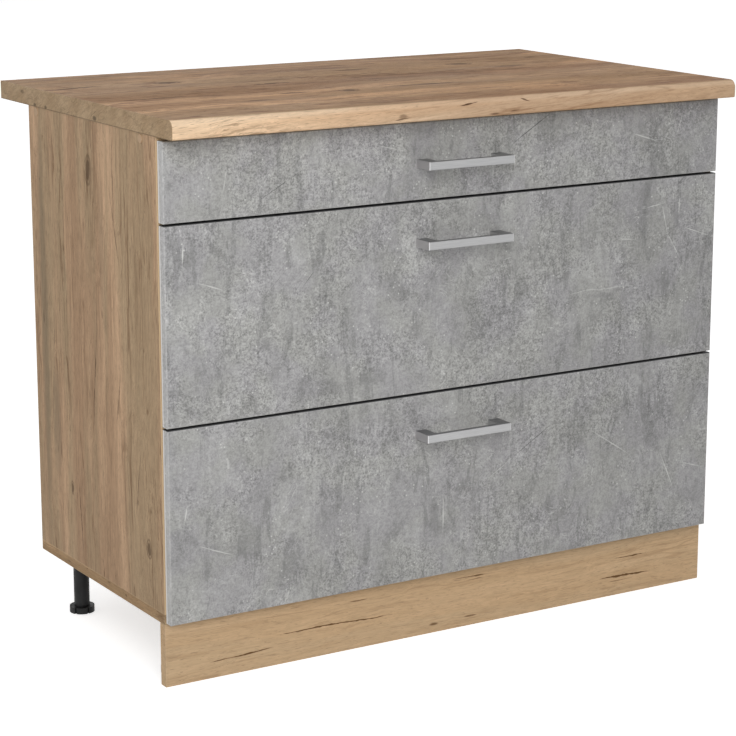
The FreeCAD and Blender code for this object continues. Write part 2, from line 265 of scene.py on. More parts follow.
def wood_group():
    """Printed oak whose grain runs along X: staves, growth lines and rings, dashes, fibres and pores."""
    inputs = {"Vector": "Vector", "Light": "Color", "Dark": "Color", "Grey": "Color", "Deep": "Color"}
    inputs["Sway"] = "Float"
    outputs = {"Color": "Color", "Roughness": "Float", "Height": "Float"}
    nodes, taken, given = new_group("oak grain", inputs, outputs)
    slow = nodes.drawn(taken["Vector"], 2.0, 7.0, 2.0)
    sway = nodes.times(nodes.less(slow, 0.5), taken["Sway"])
    swirl = nodes.drawn(taken["Vector"], 14.0, 34.0, 2.0, shift=(3.0, 3.0, 3.0))
    swirl = nodes.times(nodes.less(swirl, 0.5), 0.009)
    sway = nodes.plus(sway, swirl)
    sway = nodes.add("CombineXYZ", {"X": 0.0, "Y": sway, "Z": sway}).outputs["Vector"]
    bent = nodes.vector_maths("ADD", taken["Vector"], sway)
    staves = nodes.drawn(bent, 0.7, 26.0, 3.0, 0.55)
    lines = nodes.drawn(bent, 1.6, 95.0, 3.0, 0.6)
    fibres = nodes.drawn(bent, 12.0, 480.0, 3.0, 0.65)
    flecks = nodes.drawn(bent, 38.0, 210.0, 4.0, 0.7, shift=(0.3, 2.0, 1.0))
    pores = nodes.ramp(nodes.drawn(bent, 60.0, 1300.0, 1.0), 0.60, 0.72)
    streaks = nodes.drawn(bent, 4.5, 120.0, 3.0, 0.6, shift=(8.0, 1.0, 3.0))
    rings = nodes.drawn(bent, 1.3, 44.0, 2.0, 0.5, shift=(4.0, 9.0, 2.0))
    rings = nodes.contour(rings, 0.022, 0.004)
    open_rings = nodes.ramp(nodes.drawn(bent, 3.0, 21.0, 2.0), 0.44, 0.60)
    dashes = nodes.drawn(bent, 17.0, 230.0, 2.0, 0.6, shift=(1.0, 6.0, 4.0))
    crowded = nodes.ramp(nodes.drawn(bent, 5.0, 15.0, 2.0, shift=(2.0, 2.0, 7.0)), 0.50, 0.62)
    dashes = nodes.times(nodes.ramp(dashes, 0.56, 0.64), crowded)
    ashen = nodes.drawn(bent, 0.9, 17.0, 2.0, shift=(3.1, 0.7, 5.2))
    colour = nodes.mix(nodes.ramp(staves, 0.36, 0.64), taken["Dark"], taken["Light"])
    colour = nodes.mix(nodes.ramp(ashen, 0.44, 0.60, 0.0, 0.70), colour, taken["Grey"])
    colour = nodes.mix(nodes.ramp(lines, 0.30, 0.70, 0.30, 0.0), colour, taken["Dark"])
    colour = nodes.mix(nodes.ramp(streaks, 0.56, 0.70, 0.0, 0.32), colour, taken["Deep"])
    thin = nodes.times(nodes.times(rings, open_rings), 0.55)
    colour = nodes.mix(nodes.either(thin, nodes.times(dashes, 0.45)), colour, taken["Deep"])
    shade = nodes.ramp(fibres, 0.28, 0.72, 0.89, 1.09)
    shade = nodes.times(shade, nodes.ramp(flecks, 0.3, 0.7, 0.92, 1.08))
    colour = nodes.shaded(colour, shade)
    colour = nodes.mix(nodes.times(pores, 0.5), colour, tone(74, 56, 40))
    nodes.feed(given.inputs["Color"], colour)
    nodes.feed(given.inputs["Roughness"], nodes.ramp(fibres, 0.3, 0.7, 0.72, 0.60))
    nodes.feed(given.inputs["Height"], nodes.less(nodes.times(fibres, 0.5), pores))
    return nodes.tree


def concrete_group():
    """Printed concrete: clouds, trowel patches and smears, grit, dark holes, pale pits and veins."""
    inputs = {"Vector": "Vector", "Light": "Color", "Dark": "Color"}
    outputs = {"Color": "Color", "Roughness": "Float", "Height": "Float"}
    nodes, taken, given = new_group("concrete", inputs, outputs)
    place = taken["Vector"]
    clouds = nodes.noise(place, 4.5, 3.0, 0.5, 0.4)
    patches = nodes.noise(nodes.stretch(place, (1.0, 1.0, 0.8)), 19.0, 5.0, 0.62, 0.5)
    smears = nodes.noise(nodes.stretch(place, (40.0, 40.0, 9.0), shift=(2.0, 0.0, 6.0)), 1.0, 4.0, 0.65, 0.8)
    hue = nodes.noise(nodes.stretch(place, shift=(7.0, 2.0, 4.0)), 11.0, 3.0, 0.6)
    tint = nodes.mix(nodes.ramp(hue, 0.40, 0.60), tone(159, 158, 154), tone(156, 153, 157))
    colour = nodes.mix(nodes.ramp(clouds, 0.32, 0.68, 0.40, 0.60), taken["Dark"], taken["Light"])
    colour = nodes.mix(0.40, colour, tint)
    colour = nodes.mix(nodes.ramp(patches, 0.33, 0.48, 0.42, 0.0), colour, taken["Dark"])
    colour = nodes.mix(nodes.ramp(patches, 0.54, 0.70, 0.0, 0.42), colour, taken["Light"])
    colour = nodes.mix(nodes.ramp(smears, 0.55, 0.64, 0.0, 0.5), colour, taken["Dark"])
    colour = nodes.mix(nodes.ramp(smears, 0.42, 0.34, 0.0, 0.28), colour, taken["Light"])
    rough_zone = nodes.noise(nodes.stretch(place, shift=(9.0, 0.0, 3.0)), 10.0, 4.0, 0.65, 0.6)
    rough_zone = nodes.ramp(rough_zone, 0.42, 0.58)
    grit = nodes.noise(place, 300.0, 2.0, 0.8)
    coarse = nodes.noise(nodes.stretch(place, shift=(1.0, 4.0, 2.0)), 130.0, 2.0, 0.7)
    relief = nodes.plus(nodes.ramp(grit, 0.32, 0.68, -0.5, 0.5), nodes.ramp(coarse, 0.36, 0.64, -0.28, 0.28))
    relief = nodes.times(relief, nodes.ramp(rough_zone, 0.0, 1.0, 0.26, 0.54))
    shade = nodes.plus(1.0, relief)
    colour = nodes.shaded(colour, shade)
    holes = nodes.ramp(nodes.cells(place, 165.0), 0.20, 0.08)
    holes = nodes.times(holes, nodes.ramp(nodes.noise(place, 60.0, 2.0), 0.50, 0.58))
    holes = nodes.times(holes, rough_zone)
    colour = nodes.mix(nodes.times(holes, 0.75), colour, tone(88, 88, 88))
    pits = nodes.ramp(nodes.cells(nodes.stretch(place, shift=(3.0, 3.0, 3.0)), 120.0), 0.22, 0.08)
    some = nodes.ramp(nodes.noise(place, 22.0, 3.0, 0.6), 0.52, 0.60)
    pits = nodes.times(pits, some)
    veins = nodes.noise(nodes.stretch(place, shift=(6.0, 1.0, 8.0)), 26.0, 3.0, 0.6, 1.2)
    veins = nodes.contour(veins, 0.010, 0.002)
    where = nodes.ramp(nodes.noise(nodes.stretch(place, shift=(4.0, 0.0, 9.0)), 14.0, 2.0), 0.54, 0.62)
    veins = nodes.times(veins, where)
    pale = nodes.either(pits, nodes.times(veins, 0.55))
    colour = nodes.mix(nodes.times(pale, 0.75), colour, tone(212, 212, 209))
    nodes.feed(given.inputs["Color"], colour)
    nodes.feed(given.inputs["Roughness"], nodes.ramp(patches, 0.3, 0.7, 0.62, 0.50))
    height = nodes.less(nodes.plus(relief, pale), holes)
    nodes.feed(given.inputs["Height"], height)
    return nodes.tree


def chip_group():
    """Raw chipboard, as it shows on a board's bare edge."""
    inputs = {"Vector": "Vector"}
    outputs = {"Color": "Color", "Height": "Float"}
    nodes, taken, given = new_group("chipboard", inputs, outputs)
    chips = nodes.add("TexVoronoi", {"Vector": taken["Vector"], "Scale": 420.0})
    grey = nodes.split(chips.outputs["Color"])[0]
    flakes = nodes.noise(taken["Vector"], 700.0, 3.0, 0.7)
    colour = nodes.mix(grey, tone(150, 122, 88), tone(196, 168, 128))
    colour = nodes.mix(nodes.ramp(flakes, 0.55, 0.7, 0.0, 0.7), colour, tone(104, 80, 54))
    nodes.feed(given.inputs["Color"], colour)
    nodes.feed(given.inputs["Height"], flakes)
    return nodes.tree


def brushed_group():
    """Metal with fine drawn lines along X, faint smudges and dull specks."""
    inputs = {"Vector": "Vector", "Light": "Color", "Dark": "Color"}
    outputs = {"Color": "Color", "Roughness": "Float", "Height": "Float"}
    nodes, taken, given = new_group("drawn metal", inputs, outputs)
    lines = nodes.drawn(taken["Vector"], 30.0, 2600.0, 2.0, 0.6)
    smudges = nodes.noise(taken["Vector"], 35.0, 4.0, 0.6)
    specks = nodes.ramp(nodes.noise(taken["Vector"], 900.0, 1.0), 0.68, 0.76)
    colour = nodes.mix(nodes.ramp(lines, 0.3, 0.7), taken["Dark"], taken["Light"])
    colour = nodes.mix(nodes.times(specks, 0.25), colour, taken["Dark"])
    rough = nodes.plus(nodes.ramp(smudges, 0.35, 0.65, 0.30, 0.42), nodes.times(specks, 0.1))
    nodes.feed(given.inputs["Color"], colour)
    nodes.feed(given.inputs["Roughness"], rough)
    nodes.feed(given.inputs["Height"], lines)
    return nodes.tree


def moulded_group():
    """Moulded plastic or a painted sheet: a fine orange-peel skin, handling marks and a little dust."""
    inputs = {"Vector": "Vector", "Base": "Color", "Dust": "Color"}
    outputs = {"Color": "Color", "Roughness": "Float", "Height": "Float"}
    nodes, taken, given = new_group("moulded skin", inputs, outputs)
    skin = nodes.noise(taken["Vector"], 1100.0, 2.0, 0.5)
    marks = nodes.noise(taken["Vector"], 48.0, 4.0, 0.65)
    dust = nodes.ramp(nodes.noise(taken["Vector"], 260.0, 3.0, 0.7), 0.56, 0.74, 0.0, 0.5)
    colour = nodes.mix(dust, taken["Base"], taken["Dust"])
    nodes.feed(given.inputs["Color"], colour)
    nodes.feed(given.inputs["Roughness"], nodes.ramp(marks, 0.35, 0.65, 0.42, 0.60))
    nodes.feed(given.inputs["Height"], skin)
    return nodes.tree


MARK = mark_group()
LINE = line_group()
WEAR = wear_group()
WOOD = wood_group()
CONCRETE = concrete_group()
CHIPS = chip_group()
BRUSHED = brushed_group()
MOULDED = moulded_group()


class Marks:
    """Gathers oval spots, knots and thin lines in one mask. Lines run along one socket, across another."""

    def __init__(self, nodes, along=None, across=None):
        self.nodes = nodes
        self.along = along
        self.across = across
        self.mask = 0.0

    def gather(self, more, strength):
        self.mask = self.nodes.either(self.mask, self.nodes.times(more, strength))

    def spot(self, place, size, turn, ragged):
        inputs = {"Vector": self.nodes.place(), "Place": place, "Turn": turn, "Size": size, "Ragged": ragged}
        return self.nodes.group(MARK, inputs)["Mask"]

    def oval(self, place, size, turn=(0, 0, 0), strength=1.0, ragged=0.004):
        self.gather(self.spot(place, size, turn, ragged), strength)

    def knot(self, place, size, strength=1.0):
        """A dark outline and a dark heart."""
        nodes = self.nodes
        spot = self.spot(place, size, (0, 0, 0), knot_ragged)
        outline = nodes.times(nodes.ramp(spot, 0.02, 0.30), nodes.ramp(spot, 0.70, 0.35, 0.35, 0.65))
        heart = nodes.ramp(spot, 0.62, 0.98)
        self.gather(nodes.either(outline, heart), strength)

    def line(self, middle, reach, width, slope=0.0, strength=1.0, wander=0.005):
        """A thin line. Its middle is given along and across it."""
        inputs = {"Vector": self.nodes.place(), "Along": self.along, "Across": self.across}
        inputs.update({"Middle along": middle[0], "Middle across": middle[1]})
        inputs.update({"Slope": slope, "Half length": reach, "Half width": width, "Wander": wander})
        self.gather(self.nodes.group(LINE, inputs)["Mask"], strength)

    def tall_line(self, *line):
        """A thin line that runs the other way."""
        self.along, self.across = self.across, self.along
        self.line(*line)
        self.along, self.across = self.across, self.along


def worn(nodes, colour, node, width, strength, rim):
    """The colour with the edges of one box-shaped CAD node rubbed to another colour."""
    low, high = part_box(node)
    inputs = {"Vector": nodes.place(), "Middle": (low + high) / 2}
    inputs.update({"Half size": (high - low) / 2, "Width": width})
    mask = nodes.times(nodes.group(WEAR, inputs)["Mask"], strength)
    return nodes.mix(mask, colour, rim)


def dull_surface(nodes, colour, roughness, height, depth=grain_depth, gloss=laminate_gloss):
    """Ends the material of a board or a plastic: its relief and its gloss."""
    normal = nodes.bump(height, depth)
    nodes.surface(Base_Color=colour, Specular_IOR_Level=gloss, Roughness=roughness, Normal=normal)


# ---------------------------------------------------------------- oak

OAK_RIM = tone(205, 182, 150)
GRAIN_ALONG_X = (0, 0, 0)
GRAIN_ALONG_Y = (0, 0, math.radians(-90))
GRAIN_ALONG_Z = (0, math.radians(90), 0)


def oak(nodes, grain, shift, light, dark, grey, deep=tone(112, 84, 58), sway=0.05):
    """Oak decor with its grain turned along one axis."""
    inputs = {"Vector": nodes.stretch(nodes.place(), turn=grain, shift=shift), "Sway": sway}
    inputs.update({"Light": light, "Dark": dark, "Grey": grey, "Deep": deep})
    return nodes.group(WOOD, inputs)


def side_panel_marks(nodes, side):
    """Knots, cracks and stains of a side panel's outer face."""
    depth = EVERYWHERE
    y, z = nodes.split(nodes.place())[1:]
    marks = Marks(nodes, z, y)
    if side < 0:
        marks.knot((0, -0.018, 0.741), (depth, 0.013, 0.030), 0.75)
        marks.line((0.735, -0.103), 0.080, 0.0014, strength=0.6, wander=0.010)
        marks.line((0.660, -0.106), 0.070, 0.0014, 0.235, 0.6)
        marks.line((0.4355, -0.0265), 0.105, 0.0015, -0.114, 0.75)
        marks.line((0.196, 0.0405), 0.070, 0.0015, 0.087, 0.7)
        marks.line((0.294, -0.1685), 0.060, 0.0012, -0.186, 0.6)
        marks.line((0.408, 0.127), 0.110, 0.0014, -0.099, 0.5, 0.010)
        marks.line((0.410, -0.107), 0.042, 0.0020, -0.2, 0.65)
        marks.line((0.620, 0.075), 0.130, 0.0011, 0.02, 0.4, 0.010)
        marks.oval((0, -0.056, 0.529), (depth, 0.0022, 0.009), strength=0.7)
        marks.oval((0, 0.160, 0.486), (depth, 0.0022, 0.013), strength=0.7)
        marks.oval((0, -0.165, 0.264), (depth, 0.0022, 0.007), strength=0.6)
        marks.knot((0, 0.069, 0.230), (depth, 0.0065, 0.014), 0.7)
        marks.knot((0, -0.200, 0.202), (depth, 0.011, 0.020), 0.75)
        return marks.mask
    marks.knot((0, 0.040, 0.300), (depth, 0.011, 0.024), 0.75)
    marks.line((0.600, -0.120), 0.120, 0.0014, 0.05, 0.65)
    marks.line((0.360, 0.090), 0.110, 0.0013, -0.06, 0.6)
    marks.line((0.240, -0.050), 0.080, 0.0014, 0.08, 0.6)
    marks.oval((0, 0.130, 0.700), (depth, 0.003, 0.012), strength=0.6)
    return marks.mask


def side_panel_stains(nodes, side):
    """The greenish and grey figure between the growth lines of a side panel."""
    depth = EVERYWHERE
    marks = Marks(nodes)
    if side > 0:
        marks.oval((0, 0.120, 0.560), (depth, 0.014, 0.300), strength=0.35, ragged=0.012)
        marks.oval((0, -0.150, 0.300), (depth, 0.012, 0.160), strength=0.3, ragged=0.012)
        return marks.mask
    marks.oval((0, 0.157, 0.490), (depth, 0.018, 0.420), strength=0.55, ragged=0.012)
    marks.oval((0, 0.120, 0.322), (depth, 0.018, 0.120), strength=0.5, ragged=0.012)
    marks.oval((0, -0.060, 0.620), (depth, 0.014, 0.150), strength=0.3, ragged=0.010)
    return marks.mask


def side_panel_material(side, node):
    material, nodes = new_material(node + " oak")
    shift = (0.0, 1.3 + side, 0.4)
    light, dark, grey = tone(209, 175, 142), tone(174, 143, 114), tone(172, 151, 121)
    wood = oak(nodes, GRAIN_ALONG_Z, shift, light, dark, grey, sway=0.07)
    colour = nodes.mix(side_panel_stains(nodes, side), wood["Color"], tone(124, 110, 90))
    dark = side_panel_marks(nodes, side)
    colour = nodes.mix(dark, colour, tone(86, 66, 48))
    y, z = nodes.split(nodes.place())[1:]
    fade = nodes.ramp(z, 0.10, 0.42, 0.945, 1.0)
    colour = nodes.shaded(colour, fade)
    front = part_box(node)[0].y
    band = nodes.ramp(y, front + 0.0011, front + 0.0008)
    colour = nodes.mix(band, colour, tone(204, 176, 140))
    colour = worn(nodes, colour, node, rubbed_width, 0.35, OAK_RIM)
    height = nodes.less(wood["Height"], dark)
    dull_surface(nodes, colour, wood["Roughness"], height)
    return material


def lengthwise_material(node, shift):
    """Oak boards that run across the cabinet, with grain along their length and banded ends."""
    material, nodes = new_material(node + " oak")
    light, dark, grey = tone(200, 167, 130), tone(162, 133, 100), tone(166, 146, 117)
    along = oak(nodes, GRAIN_ALONG_X, (0.0, shift, 0.0), light, dark, grey)
    banding = oak(nodes, GRAIN_ALONG_Y, (0.0, shift, 0.3), light, dark, grey)
    x = nodes.split(nodes.place())[0]
    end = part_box(node)[1].x
    at_end = nodes.ramp(nodes.maths("ABSOLUTE", x), end - 0.0008, end - 0.0006)
    colour = nodes.mix(at_end, along["Color"], banding["Color"])
    marks = Marks(nodes)
    marks.oval((0, -0.116, 0.106), (EVERYWHERE, 0.005, 0.003), strength=0.7)
    marks.oval((0, -0.056, 0.110), (EVERYWHERE, 0.008, 0.002), strength=0.5)
    marks.oval((0, 0.090, 0.104), (EVERYWHERE, 0.010, 0.002), strength=0.45)
    dark = nodes.times(marks.mask, at_end)
    colour = nodes.mix(dark, colour, tone(90, 70, 50))
    colour = worn(nodes, colour, node, rubbed_width, 0.4, OAK_RIM)
    dull_surface(nodes, colour, along["Roughness"], along["Height"])
    return material


def plinth_material():
    """The plinth's lighter oak, with long dark splits."""
    material, nodes = new_material("plinth oak")
    light, dark, grey = tone(210, 180, 144), tone(195, 165, 129), tone(196, 172, 140)
    wood = oak(nodes, GRAIN_ALONG_X, (2.2, 0.0, 0.6), light, dark, grey, deep=tone(152, 121, 88))
    x, _, z = nodes.split(nodes.place())
    calm = nodes.mix(0.35, wood["Color"], tone(201, 170, 134))
    marks = Marks(nodes, x, z)
    marks.line((-0.206, 0.0457), 0.118, 0.0015, -0.022, 0.95, 0.008)
    marks.line((-0.372, 0.0273), 0.060, 0.0013, 0.035, 0.95)
    marks.line((-0.168, 0.0776), 0.020, 0.0011, -0.011, 0.7)
    marks.line((0.357, 0.0628), 0.036, 0.0015, 0.0, 0.95)
    marks.line((0.345, 0.0313), 0.054, 0.0022, -0.004, 0.95, 0.008)
    marks.line((0.336, 0.0240), 0.030, 0.0010, 0.02, 0.7)
    marks.line((0.039, 0.0152), 0.014, 0.0014, 0.023, 0.7)
    marks.line((0.0417, 0.0810), 0.040, 0.0014, -0.009, 0.85)
    marks.line((0.048, 0.0760), 0.022, 0.0010, 0.02, 0.7)
    marks.oval((-0.030, 0, 0.0134), (0.011, EVERYWHERE, 0.0030), strength=0.8, ragged=0.002)
    colour = nodes.mix(marks.mask, calm, tone(98, 70, 42))
    colour = worn(nodes, colour, "plinth", 0.0014, 0.35, tone(214, 190, 158))
    height = nodes.less(wood["Height"], marks.mask)
    dull_surface(nodes, colour, wood["Roughness"], height)
    return material


def drawer_board_material(node, grain):
    """The plainer oak decor of the drawer boxes."""
    material, nodes = new_material(node + " oak")
    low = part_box(node)[0]
    shift = (low.x * 3, low.z * 5, 0.2)
    wood = oak(nodes, grain, shift, tone(198, 168, 130), tone(168, 140, 107), tone(172, 150, 121))
    colour = worn(nodes, wood["Color"], node, rubbed_width, 0.4, OAK_RIM)
    dull_surface(nodes, colour, wood["Roughness"], wood["Height"], fine_depth)
    return material


# ---------------------------------------------------------------- worktop


def worktop_top_marks(nodes, x, y):
    """Knots, dashes and cracks on the worktop's top."""
    thin = 0.02
    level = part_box("worktop")[1].z
    marks = Marks(nodes, x, y)
    marks.knot((-0.291, 0.132, level), (0.027, 0.018, thin), 0.85)
    marks.knot((-0.098, -0.105, level), (0.022, 0.017, thin), 0.85)
    marks.knot((0.261, 0.136, level), (0.030, 0.018, thin), 0.8)
    marks.oval((-0.190, -0.092, level), (0.036, 0.010, thin), strength=0.75, ragged=0.016)
    marks.oval((-0.282, -0.152, level), (0.040, 0.009, thin), strength=0.65, ragged=0.016)
    marks.oval((0.060, 0.150, level), (0.050, 0.012, thin), strength=0.6, ragged=0.018)
    marks.oval((0.317, 0.066, level), (0.045, 0.010, thin), strength=0.65, ragged=0.016)
    marks.line((-0.440, 0.140), 0.045, 0.0060, 0.05, 0.75, 0.014)
    marks.line((-0.165, 0.038), 0.060, 0.0055, 0.03, 0.75, 0.014)
    marks.line((-0.400, -0.050), 0.060, 0.0055, 0.08, 0.7, 0.014)
    marks.line((0.038, -0.092), 0.070, 0.0055, 0.02, 0.7, 0.014)
    return marks.mask


def worktop_front_marks(nodes, x, z):
    """Knots and cracks on the worktop's rounded front."""
    thin = 0.02
    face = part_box("worktop")[0].y
    marks = Marks(nodes, x, z)
    marks.oval((-0.123, face, 0.826), (0.010, thin, 0.005), strength=0.5)
    marks.oval((0.039, face, 0.8205), (0.011, thin, 0.0022), strength=0.7, ragged=0.002)
    marks.line((-0.123, 0.8225), 0.016, 0.0013, 0.1, 0.7, 0.003)
    marks.line((-0.008, 0.8380), 0.019, 0.0012, 0.11, 1.0, 0.003)
    marks.line((0.075, 0.8230), 0.010, 0.0012, 0.1, 0.6, 0.003)
    marks.line((0.094, 0.8385), 0.009, 0.0013, -0.35, 0.8, 0.003)
    return marks.mask


def worktop_material():
    material, nodes = new_material("worktop laminate")
    place = nodes.place()
    x, y, z = nodes.split(place)
    low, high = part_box("worktop")
    light, dark, grey = tone(204, 165, 128), tone(146, 113, 84), tone(164, 136, 106)
    inputs = {"Vector": nodes.stretch(place, (1.0, 0.55, 1.0), shift=(0.9, 0.4, 0.0)), "Sway": 0.10}
    inputs.update({"Light": light, "Dark": dark, "Grey": grey, "Deep": tone(98, 68, 46)})
    top = nodes.group(WOOD, inputs)
    fade = nodes.times(nodes.ramp(y, low.y, high.y, 1.06, 0.90), nodes.ramp(x, -0.45, 0.2, 1.07, 1.01))
    greener = nodes.times(fade, nodes.ramp(x, -0.4, 0.4, 1.0, 0.955))
    bluer = nodes.times(fade, nodes.ramp(x, -0.4, 0.4, 1.0, 0.90))
    fade = nodes.add("CombineXYZ", {"X": fade, "Y": greener, "Z": bluer}).outputs["Vector"]
    faded = nodes.mix(1.0, top["Color"], fade, "MULTIPLY")
    dashes = nodes.stretch(place, (13.0, 62.0, 1.0), (0, 0, 0.03), (6.0, 2.0, 0.0))
    dashes = nodes.noise(dashes, 1.0, 3.0, 0.6, 0.4)
    faded = nodes.mix(nodes.ramp(dashes, 0.585, 0.655, 0.0, 0.60), faded, tone(116, 80, 56))
    # Painted light: the rounded front takes a much lighter copy of the top's oak, standing in for the light
    # it catches; browner towards the middle and the right.
    slant = (0, math.radians(4), 0)
    front = oak(nodes, slant, (5.0, 0.0, 2.0), tone(250, 226, 194), tone(232, 198, 162), tone(226, 200, 168))
    at_front = nodes.ramp(y, low.y + 0.012, low.y + 0.006)
    share = nodes.less(nodes.ramp(x, -0.5, 0.1, 0.0, 0.64), nodes.ramp(x, 0.15, 0.5, 0.0, 0.16))
    browner = nodes.mix(share, front["Color"], tone(156, 116, 84))
    # Painted highlight: a near-white band along the upper round of the front.
    painted_highlight = nodes.times(nodes.ramp(z, high.z - 0.009, high.z - 0.005), 0.14)
    browner = nodes.mix(painted_highlight, browner, tone(255, 232, 204))
    colour = nodes.mix(at_front, faded, browner)
    dark = nodes.times(worktop_front_marks(nodes, x, z), at_front)
    dark = nodes.either(dark, worktop_top_marks(nodes, x, y))
    colour = nodes.mix(dark, colour, tone(84, 60, 42))
    below = nodes.ramp(z, low.z + 0.0004, low.z + 0.0002)
    behind = nodes.ramp(y, high.y - 0.0004, high.y - 0.0002)
    bare = nodes.group(CHIPS, {"Vector": place})
    colour = nodes.mix(nodes.either(below, behind), colour, bare["Color"])
    wiped = nodes.drawn(place, 2.0, 9.0, 4.0, 0.6)
    rough = nodes.plus(top["Roughness"], nodes.ramp(wiped, 0.35, 0.65, -0.08, 0.04))
    height = nodes.less(top["Height"], dark)
    dull_surface(nodes, colour, rough, height, fine_depth)
    return material


def end_band_material():
    """The worktop's thin end bands: olive brown, with slanting cross-grain specks and a dark lower rim."""
    material, nodes = new_material("worktop end band")
    place = nodes.place()
    y, z = nodes.split(place)[1:]
    local = nodes.stretch(place, turn=(math.radians(24), 0, 0))
    specks = nodes.noise(nodes.stretch(local, (1.0, 90.0, 430.0)), 1.0, 4.0, 0.7, 0.3)
    figure = nodes.noise(nodes.stretch(local, (1.0, 22.0, 60.0)), 1.0, 2.0, 0.5, 0.8)
    figure = nodes.contour(figure, 0.018, 0.004)
    clouds = nodes.noise(place, 24.0, 3.0)
    colour = nodes.mix(nodes.ramp(clouds, 0.35, 0.65), tone(173, 146, 114), tone(184, 157, 124))
    colour = nodes.mix(nodes.ramp(specks, 0.35, 0.65, 0.38, 0.0), colour, tone(118, 98, 70))
    colour = nodes.mix(nodes.times(figure, 0.4), colour, tone(112, 92, 64))
    deep = EVERYWHERE
    marks = Marks(nodes, y, z)
    marks.oval((0, 0.168, 0.820), (deep, 0.007, 0.004), strength=0.75, ragged=0.003)
    marks.oval((0, 0.127, 0.820), (deep, 0.007, 0.004), strength=0.75, ragged=0.003)
    marks.oval((0, -0.049, 0.822), (deep, 0.009, 0.005), strength=0.8, ragged=0.003)
    marks.oval((0, 0.215, 0.836), (deep, 0.010, 0.004), strength=0.5, ragged=0.003)
    marks.line((-0.046, 0.829), 0.012, 0.0010, -0.5, 0.7)
    colour = nodes.mix(marks.mask, colour, tone(80, 66, 46))
    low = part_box("worktop_end_bands")[0]
    rim = nodes.ramp(z, low.z + 0.0016, low.z + 0.0006)
    colour = nodes.mix(nodes.times(rim, 0.5), colour, tone(84, 68, 48))
    rough = nodes.ramp(clouds, 0.3, 0.7, 0.55, 0.45)
    dull_surface(nodes, colour, rough, specks, fine_depth)
    return material


# ---------------------------------------------------------------- drawer fronts and handles


def front_hairs(nodes, x, z):
    """The long dark hair cracks printed on the fronts."""
    marks = Marks(nodes, x, z)
    marks.line((0.133, 0.789), 0.044, 0.0010, 0.600, 0.8, 0.003)
    marks.line((-0.310, 0.735), 0.046, 0.0009, 0.542, 0.65, 0.003)
    marks.line((-0.263, 0.594), 0.014, 0.0010, 1.109, 0.65, 0.002)
    marks.line((-0.316, 0.596), 0.015, 0.0009, 1.005, 0.5, 0.002)
    marks.line((0.143, 0.2935), 0.042, 0.0010, 0.602, 0.75, 0.003)
    return marks.mask


def top_front_scratches(nodes, x, z):
    """The longer pale scratches on the top drawer's front."""
    marks = Marks(nodes, x, z)
    marks.line((0.350, 0.760), 0.030, 0.0010, -0.30, 0.6, 0.003)
    marks.tall_line((0.775, 0.420), 0.024, 0.0010, 0.30, 0.6, 0.003)
    marks.line((-0.120, 0.775), 0.034, 0.0009, -0.25, 0.5, 0.003)
    marks.tall_line((0.750, -0.400), 0.020, 0.0010, 0.15, 0.6, 0.003)
    return marks.mask


def middle_front_scratches(nodes, x, z):
    """The longer pale scratches on the middle drawer's front."""
    marks = Marks(nodes, x, z)
    marks.tall_line((0.6465, -0.469), 0.019, 0.0012, 0.05, 0.9, 0.002)
    marks.line((-0.425, 0.598), 0.028, 0.0010, -0.348, 0.7, 0.003)
    marks.line((0.462, 0.599), 0.028, 0.0011, -0.341, 0.8, 0.003)
    marks.line((0.373, 0.648), 0.024, 0.0010, 0.166, 0.7, 0.003)
    marks.tall_line((0.6234, 0.3958), 0.026, 0.0011, -0.269, 0.75, 0.003)
    marks.tall_line((0.5815, 0.4138), 0.024, 0.0010, -0.612, 0.75, 0.003)
    marks.tall_line((0.646, 0.4239), 0.022, 0.0010, 0.0, 0.7, 0.002)
    marks.line((0.3217, 0.5988), 0.018, 0.0011, -0.109, 0.7, 0.004)
    marks.line((0.2797, 0.5230), 0.100, 0.0012, 0.033, 0.4, 0.016)
    return marks.mask


def bottom_front_scratches(nodes, x, z):
    """The longer pale scratches on the bottom drawer's front."""
    marks = Marks(nodes, x, z)
    marks.tall_line((0.266, -0.4715), 0.017, 0.0012, 0.198, 0.85, 0.002)
    marks.line((-0.422, 0.203), 0.032, 0.0010, -0.394, 0.7, 0.003)
    marks.line((0.296, 0.269), 0.046, 0.0010, -0.65, 0.6, 0.003)
    marks.tall_line((0.2065, 0.413), 0.036, 0.0011, -0.45, 0.7, 0.003)
    marks.line((0.4666, 0.207), 0.025, 0.0010, -0.32, 0.7, 0.003)
    marks.line((0.0815, 0.2564), 0.036, 0.0009, 0.598, 0.6, 0.003)
    marks.tall_line((0.1962, -0.0246), 0.034, 0.0012, 0.0, 0.75, 0.003)
    marks.tall_line((0.270, -0.205), 0.030, 0.0009, 0.1, 0.5, 0.003)
    return marks.mask


def front_smears(nodes):
    """The dark smears that a trowel left on the fronts."""
    deep = EVERYWHERE
    marks = Marks(nodes)
    marks.oval((0.419, 0, 0.628), (0.009, deep, 0.044), (0, 0.06, 0), 0.6, 0.010)
    marks.oval((0.275, 0, 0.514), (0.036, deep, 0.006), (0, 0.05, 0), 0.6, 0.008)
    marks.oval((-0.479, 0, 0.628), (0.008, deep, 0.042), (0, 0.1, 0), 0.55, 0.010)
    marks.oval((-0.042, 0, 0.200), (0.011, deep, 0.052), (0, -0.12, 0), 0.6, 0.010)
    marks.oval((-0.240, 0, 0.262), (0.008, deep, 0.042), (0, 0.05, 0), 0.45, 0.010)
    marks.oval((-0.255, 0, 0.430), (0.060, deep, 0.022), (0, 0.15, 0), 0.45, 0.012)
    marks.oval((0.180, 0, 0.765), (0.050, deep, 0.014), (0, -0.3, 0), 0.4, 0.012)
    marks.oval((-0.050, 0, 0.735), (0.010, deep, 0.034), strength=0.45, ragged=0.010)
    return marks.mask


